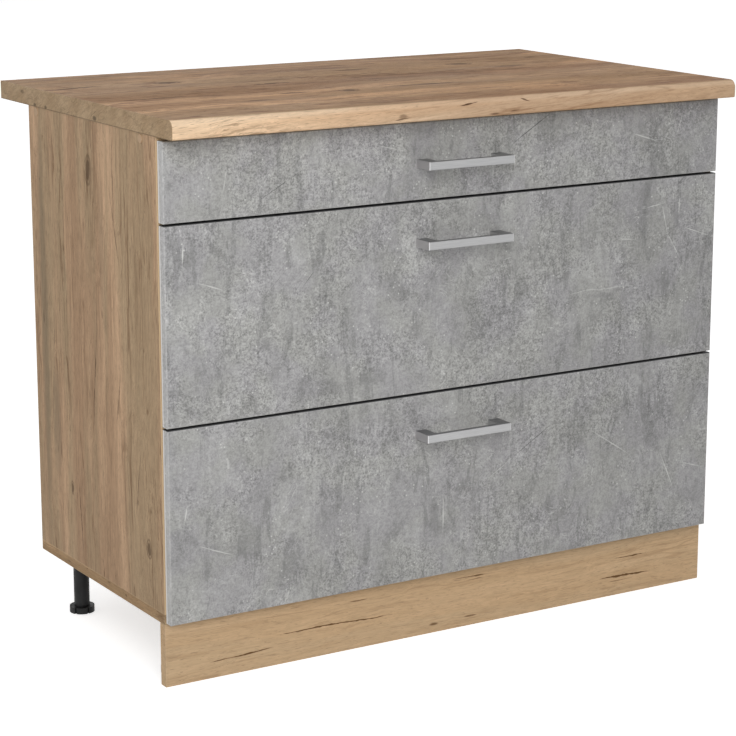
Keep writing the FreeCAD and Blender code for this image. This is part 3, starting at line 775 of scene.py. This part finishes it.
def painted_gap_shade(nodes, node):
    """Painted shade: a mask of the narrow faces that look across the gaps to the other fronts, darkened where
    the gaps lie in shade.
    """
    low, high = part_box(node)
    y, z = nodes.split(nodes.place())[1:]
    lower = 0.0
    if low.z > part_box("bottom_drawer_front")[0].z:
        lower = nodes.ramp(z, low.z + 0.0003, low.z + 0.0001)
    lower = nodes.times(lower, nodes.ramp(y, low.y + 0.0018, low.y + 0.0024))
    if high.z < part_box("top_drawer_front")[1].z:
        return nodes.either(lower, nodes.ramp(z, high.z - 0.0014, high.z - 0.0003))
    return lower


def front_ends(nodes, node):
    """The mask of a front's two end faces, where painted light makes them paler."""
    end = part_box(node)[1].x
    x = nodes.split(nodes.place())[0]
    return nodes.ramp(nodes.maths("ABSOLUTE", x), end - 0.0004, end - 0.0001)


def front_material(node, shift, scratches):
    material, nodes = new_material(node + " concrete")
    vector = nodes.stretch(nodes.place(), shift=shift)
    x, y, z = nodes.split(nodes.place())
    inputs = {"Vector": vector, "Light": tone(185, 185, 183), "Dark": tone(123, 123, 122)}
    look = nodes.group(CONCRETE, inputs)
    fade = nodes.ramp(x, -0.5, 0.5, 1.06, 0.95)
    colour = nodes.shaded(look["Color"], fade)
    colour = nodes.mix(nodes.times(front_smears(nodes), 0.6), colour, tone(118, 117, 118))
    dark = front_hairs(nodes, x, z)
    colour = nodes.mix(dark, colour, tone(78, 78, 78))
    colour = nodes.mix(scratches(nodes, x, z), colour, tone(208, 208, 205))
    colour = worn(nodes, colour, node, 0.0022, 0.55, tone(206, 206, 204))
    # Painted light: the end faces are made paler, and near-white along their rear rim as a painted highlight.
    at_end = front_ends(nodes, node)
    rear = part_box(node)[1].y
    painted_end_light = nodes.ramp(y, rear - 0.0040, rear - 0.0026, 0.22, 0.85)
    colour = nodes.mix(nodes.times(at_end, painted_end_light), colour, tone(240, 240, 239))
    # Painted shade: the narrow faces towards the gaps take a dark grey.
    colour = nodes.mix(painted_gap_shade(nodes, node), colour, tone(74, 74, 75))
    height = nodes.less(look["Height"], dark)
    dull_surface(nodes, colour, look["Roughness"], height, fine_depth, front_gloss)
    return material


def handle_material(node):
    material, nodes = new_material(node + " metal")
    inputs = {"Vector": nodes.place(), "Light": tone(178, 178, 178), "Dark": tone(164, 164, 165)}
    metal = nodes.group(BRUSHED, inputs)
    low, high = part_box(node)
    x, y, z = nodes.split(nodes.place())
    # Painted shade: the handle's upward faces are darkened towards a dark grey.
    painted_top_shade = nodes.ramp(z, high.z - 0.0005, high.z - 0.0002)
    colour = nodes.mix(nodes.times(painted_top_shade, 0.85), metal["Color"], tone(112, 112, 114))
    # Painted light: the handle's end faces are made lighter.
    away = nodes.maths("ABSOLUTE", x)
    at_end = nodes.ramp(away, high.x - 0.0004, high.x - 0.0002)
    colour = nodes.mix(at_end, colour, tone(194, 192, 193))
    # Painted highlight: a near-white line down the front edges at the handle's ends.
    painted_highlight = nodes.ramp(away, high.x - 0.0016, high.x - 0.0008)
    painted_highlight = nodes.times(painted_highlight, nodes.ramp(y, low.y + 0.0012, low.y + 0.0004))
    colour = nodes.mix(nodes.times(painted_highlight, 0.5), colour, tone(232, 232, 232))
    normal = nodes.bump(metal["Height"], metal_depth)
    nodes.surface(Base_Color=colour, Metallic=0.75, Roughness=metal["Roughness"], Normal=normal)
    return material


# ---------------------------------------------------------------- runners, plastics, sheets


def steel_material(name, light, dark):
    """Bright zinc-plated steel. Runner strips are drawn along Y."""
    material, nodes = new_material(name)
    vector = nodes.stretch(nodes.place(), turn=GRAIN_ALONG_Y)
    metal = nodes.group(BRUSHED, {"Vector": vector, "Light": light, "Dark": dark})
    spangle = nodes.cells(nodes.place(), 260.0)
    colour = nodes.mix(nodes.ramp(spangle, 0.2, 0.9, 0.0, 0.18), metal["Color"], dark)
    normal = nodes.bump(metal["Height"], metal_depth)
    nodes.surface(Base_Color=colour, Metallic=1.0, Roughness=metal["Roughness"], Normal=normal)
    return material


def plastic_material(name, base, dust, depth):
    material, nodes = new_material(name)
    skin = nodes.group(MOULDED, {"Vector": nodes.place(), "Base": base, "Dust": dust})
    dull_surface(nodes, skin["Color"], skin["Roughness"], skin["Height"], depth, plastic_gloss)
    return material


def white_sheet_material(node):
    """Thin fibreboard, painted white on its faces, brown on its cut edges."""
    material, nodes = new_material(node + " sheet")
    inputs = {"Vector": nodes.place(), "Base": tone(238, 238, 234), "Dust": tone(226, 224, 218)}
    skin = nodes.group(MOULDED, inputs)
    colour = worn(nodes, skin["Color"], node, 0.0015, 0.8, tone(150, 116, 80))
    normal = nodes.bump(skin["Height"], 0.00005)
    nodes.surface(Base_Color=colour, Roughness=skin["Roughness"], Normal=normal)
    return material


def dress(node, material):
    """Every material slot of the CAD node's object takes this material."""
    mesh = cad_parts[node].data
    if not mesh.materials:
        mesh.materials.append(material)
    for i in range(len(mesh.materials)):
        mesh.materials[i] = material


STEEL = steel_material("zinc plated steel", tone(206, 208, 212), tone(176, 178, 183))
CAGE_STEEL = steel_material("cage steel", tone(184, 186, 190), tone(156, 158, 163))
BALL_STEEL = steel_material("bearing steel", tone(214, 215, 218), tone(188, 190, 194))
SCREW_STEEL = steel_material("screw steel", tone(190, 191, 194), tone(150, 152, 156))
BLACK = plastic_material("black plastic", tone(20, 20, 21), tone(36, 35, 34), 0.0001)
CAP = plastic_material("cap plastic", tone(180, 149, 116), tone(162, 132, 100), 0.00008)


def dress_carcass():
    dress("side_panel_left", side_panel_material(-1, "side_panel_left"))
    dress("side_panel_right", side_panel_material(1, "side_panel_right"))
    for i, node in enumerate(("bottom_panel", "top_rail_front", "top_rail_rear")):
        dress(node, lengthwise_material(node, 0.7 + i))
    dress("back_panel", white_sheet_material("back_panel"))
    dress("screw_caps", CAP)
    dress("worktop", worktop_material())
    dress("worktop_end_bands", end_band_material())
    dress("plinth", plinth_material())
    black = ["leg_socket_plates", "leg_tubes", "plinth_clips"]
    black += [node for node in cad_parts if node.startswith("foot_")]
    for node in black:
        dress(node, BLACK)


def dress_drawer(drawer, shift, scratches):
    dress(drawer + "_front", front_material(drawer + "_front", shift, scratches))
    dress(drawer + "_handle", handle_material(drawer + "_handle"))
    dress(drawer + "_bottom", white_sheet_material(drawer + "_bottom"))
    for part in ("_inner_front", "_back"):
        dress(drawer + part, drawer_board_material(drawer + part, GRAIN_ALONG_X))
    for part in ("_side_left", "_side_right"):
        dress(drawer + part, drawer_board_material(drawer + part, GRAIN_ALONG_Y))
    for part in ("cabinet_members", "middle_members", "drawer_members"):
        dress(drawer + "_runner_" + part, STEEL)
    for part in ("outer_cages", "inner_cages"):
        dress(drawer + "_runner_" + part, CAGE_STEEL)


dress_carcass()
dress_drawer("top_drawer", (3.0, 0.0, 1.0), top_front_scratches)
dress_drawer("middle_drawer", (0.0, 0.0, 0.0), middle_front_scratches)
dress_drawer("bottom_drawer", (0.4, 0.0, 5.0), bottom_front_scratches)

# ---------------------------------------------------------------- shapes of the small fasteners


def ring(mesh, radius, height, sides):
    """A ring of vertices round the Z axis."""
    angles = [2 * math.pi * i / sides for i in range(sides)]
    return [mesh.verts.new((radius * math.cos(a), radius * math.sin(a), height)) for a in angles]


def join_rings(mesh, lower, upper):
    for i in range(len(lower)):
        j = (i + 1) % len(lower)
        mesh.faces.new((lower[i], lower[j], upper[j], upper[i]))


def dome_rings(mesh, radius, height, sides):
    """The rounded side of a head, from its seat up to the flat of its top."""
    rings = [ring(mesh, radius, 0.0, sides)]
    for across, up in ((1.0, 0.35), (0.94, 0.70), (0.80, 0.92), (0.62, 1.0)):
        rings.append(ring(mesh, radius * across, height * up, sides))
        join_rings(mesh, rings[-2], rings[-1])
    mesh.faces.new(rings[0][::-1])
    return rings


def finished_shape(mesh, name):
    """An object with this mesh, shaded smooth except across its sharp edges."""
    bmesh.ops.recalc_face_normals(mesh, faces=mesh.faces)
    data = bpy.data.meshes.new(name)
    mesh.to_mesh(data)
    mesh.free()
    data.shade_smooth()
    data.set_sharp_from_angle(angle=math.radians(35))
    shape = bpy.data.objects.new(name, data)
    bpy.context.scene.collection.objects.link(shape)
    return shape


def screw_head(name, radius, height, depth):
    """A pan head with a cross recess, its seat at zero height."""
    mesh = bmesh.new()
    rim = dome_rings(mesh, radius, height, screw_sides)[-1]
    arm, half = 0.44 * radius, 0.10 * radius
    quarter = [(arm, -half), (arm, half), (half, half)]
    outline = []
    for i in range(4):
        turn = math.pi / 2 * i
        for x, y in quarter:
            outline.append((x * math.cos(turn) - y * math.sin(turn), x * math.sin(turn) + y * math.cos(turn)))
    mouth = [mesh.verts.new((x, y, height)) for x, y in outline]
    floor = [mesh.verts.new((x * 0.8, y * 0.8, height - depth)) for x, y in outline]
    loops = []
    for loop in (rim, mouth):
        for i in range(len(loop)):
            pair = (loop[i - 1], loop[i])
            loops.append(mesh.edges.get(pair) or mesh.edges.new(pair))
    bmesh.ops.triangle_fill(mesh, edges=loops, use_beauty=True)
    join_rings(mesh, mouth, floor)
    mesh.faces.new(floor)
    return finished_shape(mesh, name)


def nail_head(name, radius, height):
    """A low domed nail head."""
    mesh = bmesh.new()
    rim = dome_rings(mesh, radius, height, nail_sides)[-1]
    crown = mesh.verts.new((0, 0, height * 1.05))
    for i in range(len(rim)):
        mesh.faces.new((rim[i - 1], rim[i], crown))
    return finished_shape(mesh, name)


# ---------------------------------------------------------------- geometry node trees for what repeats


def new_geometry_tree(name, inputs):
    """A geometry tree with these named inputs: the tree, its input sockets and its output node."""
    tree = bpy.data.node_groups.new(name, "GeometryNodeTree")
    tree.interface.new_socket("Geometry", in_out="INPUT", socket_type="NodeSocketGeometry")
    for label, kind in inputs.items():
        tree.interface.new_socket(label, in_out="INPUT", socket_type="NodeSocket" + kind)
    tree.interface.new_socket("Geometry", in_out="OUTPUT", socket_type="NodeSocketGeometry")
    return tree, tree.nodes.new("NodeGroupInput").outputs, tree.nodes.new("NodeGroupOutput")


def link(tree, *pairs):
    for source, target in pairs:
        tree.links.new(source, target)


def realised(tree, geometry, taken, given):
    """Ends a tree: the instances become one mesh with the given material."""
    real = tree.nodes.new("GeometryNodeRealizeInstances")
    paint = tree.nodes.new("GeometryNodeSetMaterial")
    link(
        tree,
        (geometry, real.inputs["Geometry"]),
        (real.outputs["Geometry"], paint.inputs["Geometry"]),
        (taken["Material"], paint.inputs["Material"]),
        (paint.outputs["Geometry"], given.inputs["Geometry"]),
    )


def fastener_tree():
    """Sets a shape on every point, upright along the point's aim, each with its own turn."""
    inputs = {"Shape": "Object", "Turn seed": "Int", "Material": "Material"}
    tree, taken, given = new_geometry_tree("fasteners", inputs)
    shape = tree.nodes.new("GeometryNodeObjectInfo")
    aim = tree.nodes.new("GeometryNodeInputNamedAttribute")
    aim.data_type = "FLOAT_VECTOR"
    aim.inputs["Name"].default_value = "aim"
    upright = tree.nodes.new("FunctionNodeAlignRotationToVector")
    upright.axis = "Z"
    chance = tree.nodes.new("FunctionNodeRandomValue")
    chance.data_type = "FLOAT"
    lowest = [s for s in chance.inputs if s.name == "Min" and s.enabled][0]
    highest = [s for s in chance.inputs if s.name == "Max" and s.enabled][0]
    lowest.default_value = 0.0
    highest.default_value = math.pi / 2
    spin = tree.nodes.new("ShaderNodeCombineXYZ")
    turn = tree.nodes.new("FunctionNodeEulerToRotation")
    stand = tree.nodes.new("GeometryNodeInstanceOnPoints")
    rotate = tree.nodes.new("GeometryNodeRotateInstances")
    angle = [s for s in chance.outputs if s.enabled][0]
    link(
        tree,
        (taken["Shape"], shape.inputs["Object"]),
        (aim.outputs["Attribute"], upright.inputs["Vector"]),
        (taken["Turn seed"], chance.inputs["Seed"]),
        (angle, spin.inputs["Z"]),
        (spin.outputs["Vector"], turn.inputs["Euler"]),
        (taken["Geometry"], stand.inputs["Points"]),
        (shape.outputs["Geometry"], stand.inputs["Instance"]),
        (upright.outputs["Rotation"], stand.inputs["Rotation"]),
        (stand.outputs["Instances"], rotate.inputs["Instances"]),
        (turn.outputs["Rotation"], rotate.inputs["Rotation"]),
    )
    realised(tree, rotate.outputs["Instances"], taken, given)
    return tree


def ball_row_tree():
    """Starts a row of balls at every point and runs it backward."""
    inputs = {"Count": "Int", "Pitch": "Float", "Radius": "Float", "Material": "Material"}
    tree, taken, given = new_geometry_tree("ball rows", inputs)
    step = tree.nodes.new("ShaderNodeCombineXYZ")
    row = tree.nodes.new("GeometryNodeMeshLine")
    rows = tree.nodes.new("GeometryNodeInstanceOnPoints")
    points = tree.nodes.new("GeometryNodeRealizeInstances")
    ball = tree.nodes.new("GeometryNodeMeshIcoSphere")
    ball.inputs["Subdivisions"].default_value = 2
    balls = tree.nodes.new("GeometryNodeInstanceOnPoints")
    smooth = tree.nodes.new("GeometryNodeSetShadeSmooth")
    link(
        tree,
        (taken["Pitch"], step.inputs["Y"]),
        (step.outputs["Vector"], row.inputs["Offset"]),
        (taken["Count"], row.inputs["Count"]),
        (taken["Geometry"], rows.inputs["Points"]),
        (row.outputs["Mesh"], rows.inputs["Instance"]),
        (rows.outputs["Instances"], points.inputs["Geometry"]),
        (taken["Radius"], ball.inputs["Radius"]),
        (points.outputs["Geometry"], balls.inputs["Points"]),
        (ball.outputs["Mesh"], smooth.inputs["Geometry"]),
        (smooth.outputs["Geometry"], balls.inputs["Instance"]),
    )
    realised(tree, balls.outputs["Instances"], taken, given)
    return tree


def grow(name, tree, places, values):
    """Runs a geometry tree on (point, aim) places and keeps its result as a plain mesh object."""
    data = bpy.data.meshes.new(name + "_points")
    data.from_pydata([point for point, aim in places], [], [])
    aims = data.attributes.new("aim", "FLOAT_VECTOR", "POINT")
    for i, (point, aim) in enumerate(places):
        aims.data[i].vector = aim
    host = bpy.data.objects.new(name + "_host", data)
    bpy.context.scene.collection.objects.link(host)
    grower = host.modifiers.new("grow", "NODES")
    grower.node_group = tree
    sockets = [item for item in tree.interface.items_tree if item.in_out == "INPUT"]
    for socket in sockets:
        if socket.name in values:
            grower[socket.identifier] = values[socket.name]
    graph = bpy.context.evaluated_depsgraph_get()
    mesh = bpy.data.meshes.new_from_object(host.evaluated_get(graph), depsgraph=graph)
    mesh.name = name
    bpy.data.objects.remove(host)
    piece = bpy.data.objects.new(name, mesh)
    bpy.context.scene.collection.objects.link(piece)
    return piece


FASTENERS = fastener_tree()
BALL_ROWS = ball_row_tree()
HANDLE_SCREW = screw_head("handle_screw_shape", handle_screw_radius, handle_screw_height, 0.0014)
BOARD_SCREW = screw_head("board_screw_shape", board_screw_radius, board_screw_height, 0.0012)
WEB_SCREW = screw_head("web_screw_shape", web_screw_radius, web_screw_height, 0.0010)
FLUSH_SCREW = screw_head("flush_screw_shape", flush_screw_radius, flush_screw_height, 0.0001)
NAIL = nail_head("nail_shape", nail_radius, nail_height)


def fasteners(name, body, shape, places, seed):
    """Fasteners of one shape on one body, as one piece."""
    piece = grow(name, FASTENERS, places, {"Shape": shape, "Turn seed": seed, "Material": SCREW_STEEL})
    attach(piece, body)


# ---------------------------------------------------------------- where the fasteners sit


def spaced(start, end, count):
    """Evenly spaced values from start to end."""
    return [start + (end - start) * i / (count - 1) for i in range(count)]


def worktop_screws():
    """From below, through the two rails, into the worktop."""
    places = []
    for rail in ("top_rail_front", "top_rail_rear"):
        low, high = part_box(rail)
        for x in (-0.42, 0.0, 0.42):
            places.append((Vector((x, (low.y + high.y) / 2, low.z)), DOWN))
    return places


def panel_screws():
    """From below, through the bottom panel, into the side panels."""
    low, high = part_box("bottom_panel")
    places = []
    for side in SIDES:
        for y in spaced(low.y + 0.056, high.y - 0.056, 3):
            places.append((Vector((side * (high.x - board / 2), y, low.z)), DOWN))
    return places


def leg_places():
    """The middles of the four feet, on the floor."""
    feet = [node for node in sorted(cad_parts) if node.startswith("foot_")]
    middles = [(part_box(foot)[0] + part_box(foot)[1]) / 2 for foot in feet]
    return [Vector((middle.x, middle.y, 0)) for middle in middles]


def socket_plate_screws():
    """Four in each leg's socket plate."""
    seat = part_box("leg_socket_plates")[0].z
    inset = 0.0205
    places = []
    for leg in leg_places():
        for across in SIDES:
            for along in SIDES:
                places.append((Vector((leg.x + across * inset, leg.y + along * inset, seat)), DOWN))
    return places


def clip_screws():
    """Two in the plate of each plinth clip."""
    low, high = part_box("plinth_clips")
    seat = low.y + 0.003
    places = []
    for leg in leg_places():
        if leg.y < 0:
            for across in SIDES:
                places.append((Vector((leg.x + across * 0.0145, seat, (low.z + high.z) / 2)), BACKWARD))
    return places


def back_panel_nails():
    """Round the thin back panel, into the boards behind its rim."""
    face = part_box("back_panel")[1].y
    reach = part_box("side_panel_right")[1].x - board / 2
    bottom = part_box("bottom_panel")
    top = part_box("top_rail_rear")
    places = []
    for side in SIDES:
        for z in spaced(bottom[1].z + 0.025, top[0].z - 0.035, 7):
            places.append((Vector((side * reach, face, z)), BACKWARD))
    for z in ((bottom[0].z + bottom[1].z) / 2 + 0.001, (top[0].z + top[1].z) / 2 - 0.001):
        for x in spaced(-0.45, 0.45, 9):
            places.append((Vector((x, face, z)), BACKWARD))
    return places


def handle_screws(drawer):
    """Two behind the front. Where the box's inner front covers them, they seat on that instead."""
    low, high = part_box(drawer + "_handle")
    height = (low.z + high.z) / 2
    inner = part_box(drawer + "_inner_front")[1]
    seat = inner.y if height < inner.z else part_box(drawer + "_front")[1].y
    return [(Vector((side * handle_screw_spacing / 2, seat, height)), BACKWARD) for side in SIDES]


def front_screws(drawer):
    """From inside the box, through its inner front, into the drawer front."""
    low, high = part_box(drawer + "_inner_front")
    tall = high.z - low.z > 0.1
    heights = (low.z + 0.045, high.z - 0.03) if tall else (low.z + 0.042,)
    places = []
    for z in heights:
        for side in SIDES:
            places.append((Vector((side * 0.37, high.y, z)), BACKWARD))
    return places


def corner_screws(drawer):
    """Sunk heads in the box's sides, into the ends of its inner front and back."""
    side_low, side_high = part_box(drawer + "_side_right")
    tall = side_high.z - side_low.z > 0.1
    heights = (side_low.z + 0.09, side_high.z - 0.025) if tall else (side_high.z - 0.0085,)
    places = []
    for z in heights:
        for y in (side_low.y + board / 2, side_high.y - board / 2):
            for side in SIDES:
                places.append((Vector((side * side_high.x, y, z)), Vector((side, 0, 0))))
    return places


def web_screws(drawer, inset, inward, shares):
    """Along the middle of a pair of runner webs, whose face is this far in from the side panels."""
    low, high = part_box(drawer + "_runner_cabinet_members")
    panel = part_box("side_panel_right")[0].x
    height = (low.z + high.z) / 2
    places = []
    for side in SIDES:
        aim = Vector((-side if inward else side, 0, 0))
        for share in shares:
            y = low.y + (high.y - low.y) * share
            places.append((Vector((side * (panel - inset), y, height)), aim))
    return places


def ball_rows(drawer, inset, row_height, cages):
    """Where the rows of balls of one pair of cages start."""
    low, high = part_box(drawer + "_runner_cabinet_members")
    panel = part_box("side_panel_right")[0].x
    middle = (low.z + high.z) / 2
    cage_low, cage_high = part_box(drawer + "_runner_" + cages)
    start = (cage_low.y + cage_high.y - ball_pitch * (balls_in_row - 1)) / 2
    places = []
    for side in SIDES:
        for up in SIDES:
            places.append((Vector((side * (panel - inset), start, middle + up * row_height)), UP))
    return places


def balls(drawer, cages, inset, row_height):
    values = {"Count": balls_in_row, "Pitch": ball_pitch, "Radius": ball_radius, "Material": BALL_STEEL}
    places = ball_rows(drawer, inset, row_height, cages)
    piece = grow(drawer + "_" + cages + "_balls", BALL_ROWS, places, values)
    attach(piece, drawer + "_" + cages)


def fit_carcass():
    fasteners("worktop_screws", "carcass", BOARD_SCREW, worktop_screws(), 3)
    fasteners("panel_screws", "carcass", FLUSH_SCREW, panel_screws(), 5)
    fasteners("socket_plate_screws", "carcass", BOARD_SCREW, socket_plate_screws(), 7)
    fasteners("plinth_clip_screws", "carcass", BOARD_SCREW, clip_screws(), 11)
    fasteners("back_panel_nails", "carcass", NAIL, back_panel_nails(), 13)


def fit_drawer(drawer, seed):
    fasteners(drawer + "_handle_screws", drawer, HANDLE_SCREW, handle_screws(drawer), seed)
    fasteners(drawer + "_front_screws", drawer, BOARD_SCREW, front_screws(drawer), seed + 1)
    fasteners(drawer + "_corner_screws", drawer, FLUSH_SCREW, corner_screws(drawer), seed + 2)
    outer = web_screws(drawer, runner_steel, True, (0.09, 0.55, 0.93))
    fasteners(drawer + "_cabinet_member_screws", "carcass", FLUSH_SCREW, outer, seed + 3)
    inner = web_screws(drawer, runner_slot - runner_steel, False, (0.09, 0.50, 0.90))
    fasteners(drawer + "_drawer_member_screws", drawer, WEB_SCREW, inner, seed + 4)
    balls(drawer, "outer_cages", outer_row_inset, outer_row_height)
    balls(drawer, "inner_cages", inner_row_inset, inner_row_height)


fit_carcass()
for number, drawer_name in enumerate(DRAWERS):
    fit_drawer(drawer_name, 20 + 10 * number)
for helper in (HANDLE_SCREW, BOARD_SCREW, WEB_SCREW, FLUSH_SCREW, NAIL):
    bpy.data.objects.remove(helper)

# ---------------------------------------------------------------- floor, light and camera


def floor_material():
    """Pale matt floor that reads white to the camera and keeps the object's soft shadow."""
    material, nodes = new_material("studio floor")
    place = nodes.place()
    tooth = nodes.noise(place, 300.0, 2.0)
    clouds = nodes.ramp(nodes.noise(place, 1.5, 3.0), 0.3, 0.7)
    colour = nodes.mix(clouds, tone(236, 236, 236), tone(240, 240, 240))
    inputs = {"Base Color": colour, "Roughness": nodes.ramp(tooth, 0.3, 0.7, 0.85, 0.95)}
    inputs["Normal"] = nodes.bump(tooth, 0.0001)
    inputs["Emission Color"] = (1, 1, 1, 1)
    path = nodes.add("LightPath", {}).outputs
    seen = nodes.either(path["Is Camera Ray"], path["Is Glossy Ray"])
    seen = nodes.either(seen, path["Is Transmission Ray"])
    inputs["Emission Strength"] = nodes.times(seen, 0.62)
    shader = nodes.add("BsdfPrincipled", inputs)
    nodes.add("OutputMaterial", {"Surface": shader.outputs["BSDF"]})
    return material


def floor():
    reach, level = 12.0, -0.0004
    corners = [(-reach, -reach, level), (reach, -reach, level), (reach, reach, level), (-reach, reach, level)]
    data = bpy.data.meshes.new("floor")
    data.from_pydata(corners, [], [(0, 1, 2, 3)])
    data.materials.append(floor_material())
    piece = bpy.data.objects.new("floor", data)
    bpy.context.scene.collection.objects.link(piece)


def surroundings(ambient):
    """White to the camera and in reflections; a softer white as light."""
    world = bpy.data.worlds.new("studio")
    world.use_nodes = True
    world.node_tree.nodes.clear()
    nodes = Nodes(world.node_tree)
    path = nodes.add("LightPath", {}).outputs
    seen = nodes.either(path["Is Camera Ray"], path["Is Glossy Ray"])
    seen = nodes.either(seen, path["Is Transmission Ray"])
    strength = nodes.ramp(seen, 0.0, 1.0, ambient, 1.0)
    shader = nodes.add("Background", {"Color": (1, 1, 1, 1), "Strength": strength})
    nodes.add("OutputWorld", {"Surface": shader.outputs["Background"]})
    bpy.context.scene.world = world


def lamp(name, place, target, size, power):
    """A square area lamp that faces its target."""
    data = bpy.data.lights.new(name, "AREA")
    data.size = size
    data.energy = power
    piece = bpy.data.objects.new(name, data)
    piece.location = place
    piece.rotation_euler = (Vector(target) - Vector(place)).to_track_quat("-Z", "Y").to_euler()
    bpy.context.scene.collection.objects.link(piece)


def camera():
    data = bpy.data.cameras.new("camera")
    data.sensor_width = 36.0
    data.lens = 116.831
    piece = bpy.data.objects.new("camera", data)
    piece.location = (-1.97924, -3.24500, 1.25859)
    piece.rotation_euler = Euler((math.radians(90 - 13.082), 0, math.radians(-31.370)))
    bpy.context.scene.collection.objects.link(piece)
    bpy.context.scene.camera = piece


floor()
surroundings(0.50)
lamp("front_lamp", (-1.9, -3.0, 2.2), (0, 0, 0.45), 2.0, 62.0)
lamp("top_lamp", (0.4, -0.4, 3.4), (0, 0, 0.4), 2.5, 8.0)
camera()
bpy.context.scene.view_settings.view_transform = "Standard"
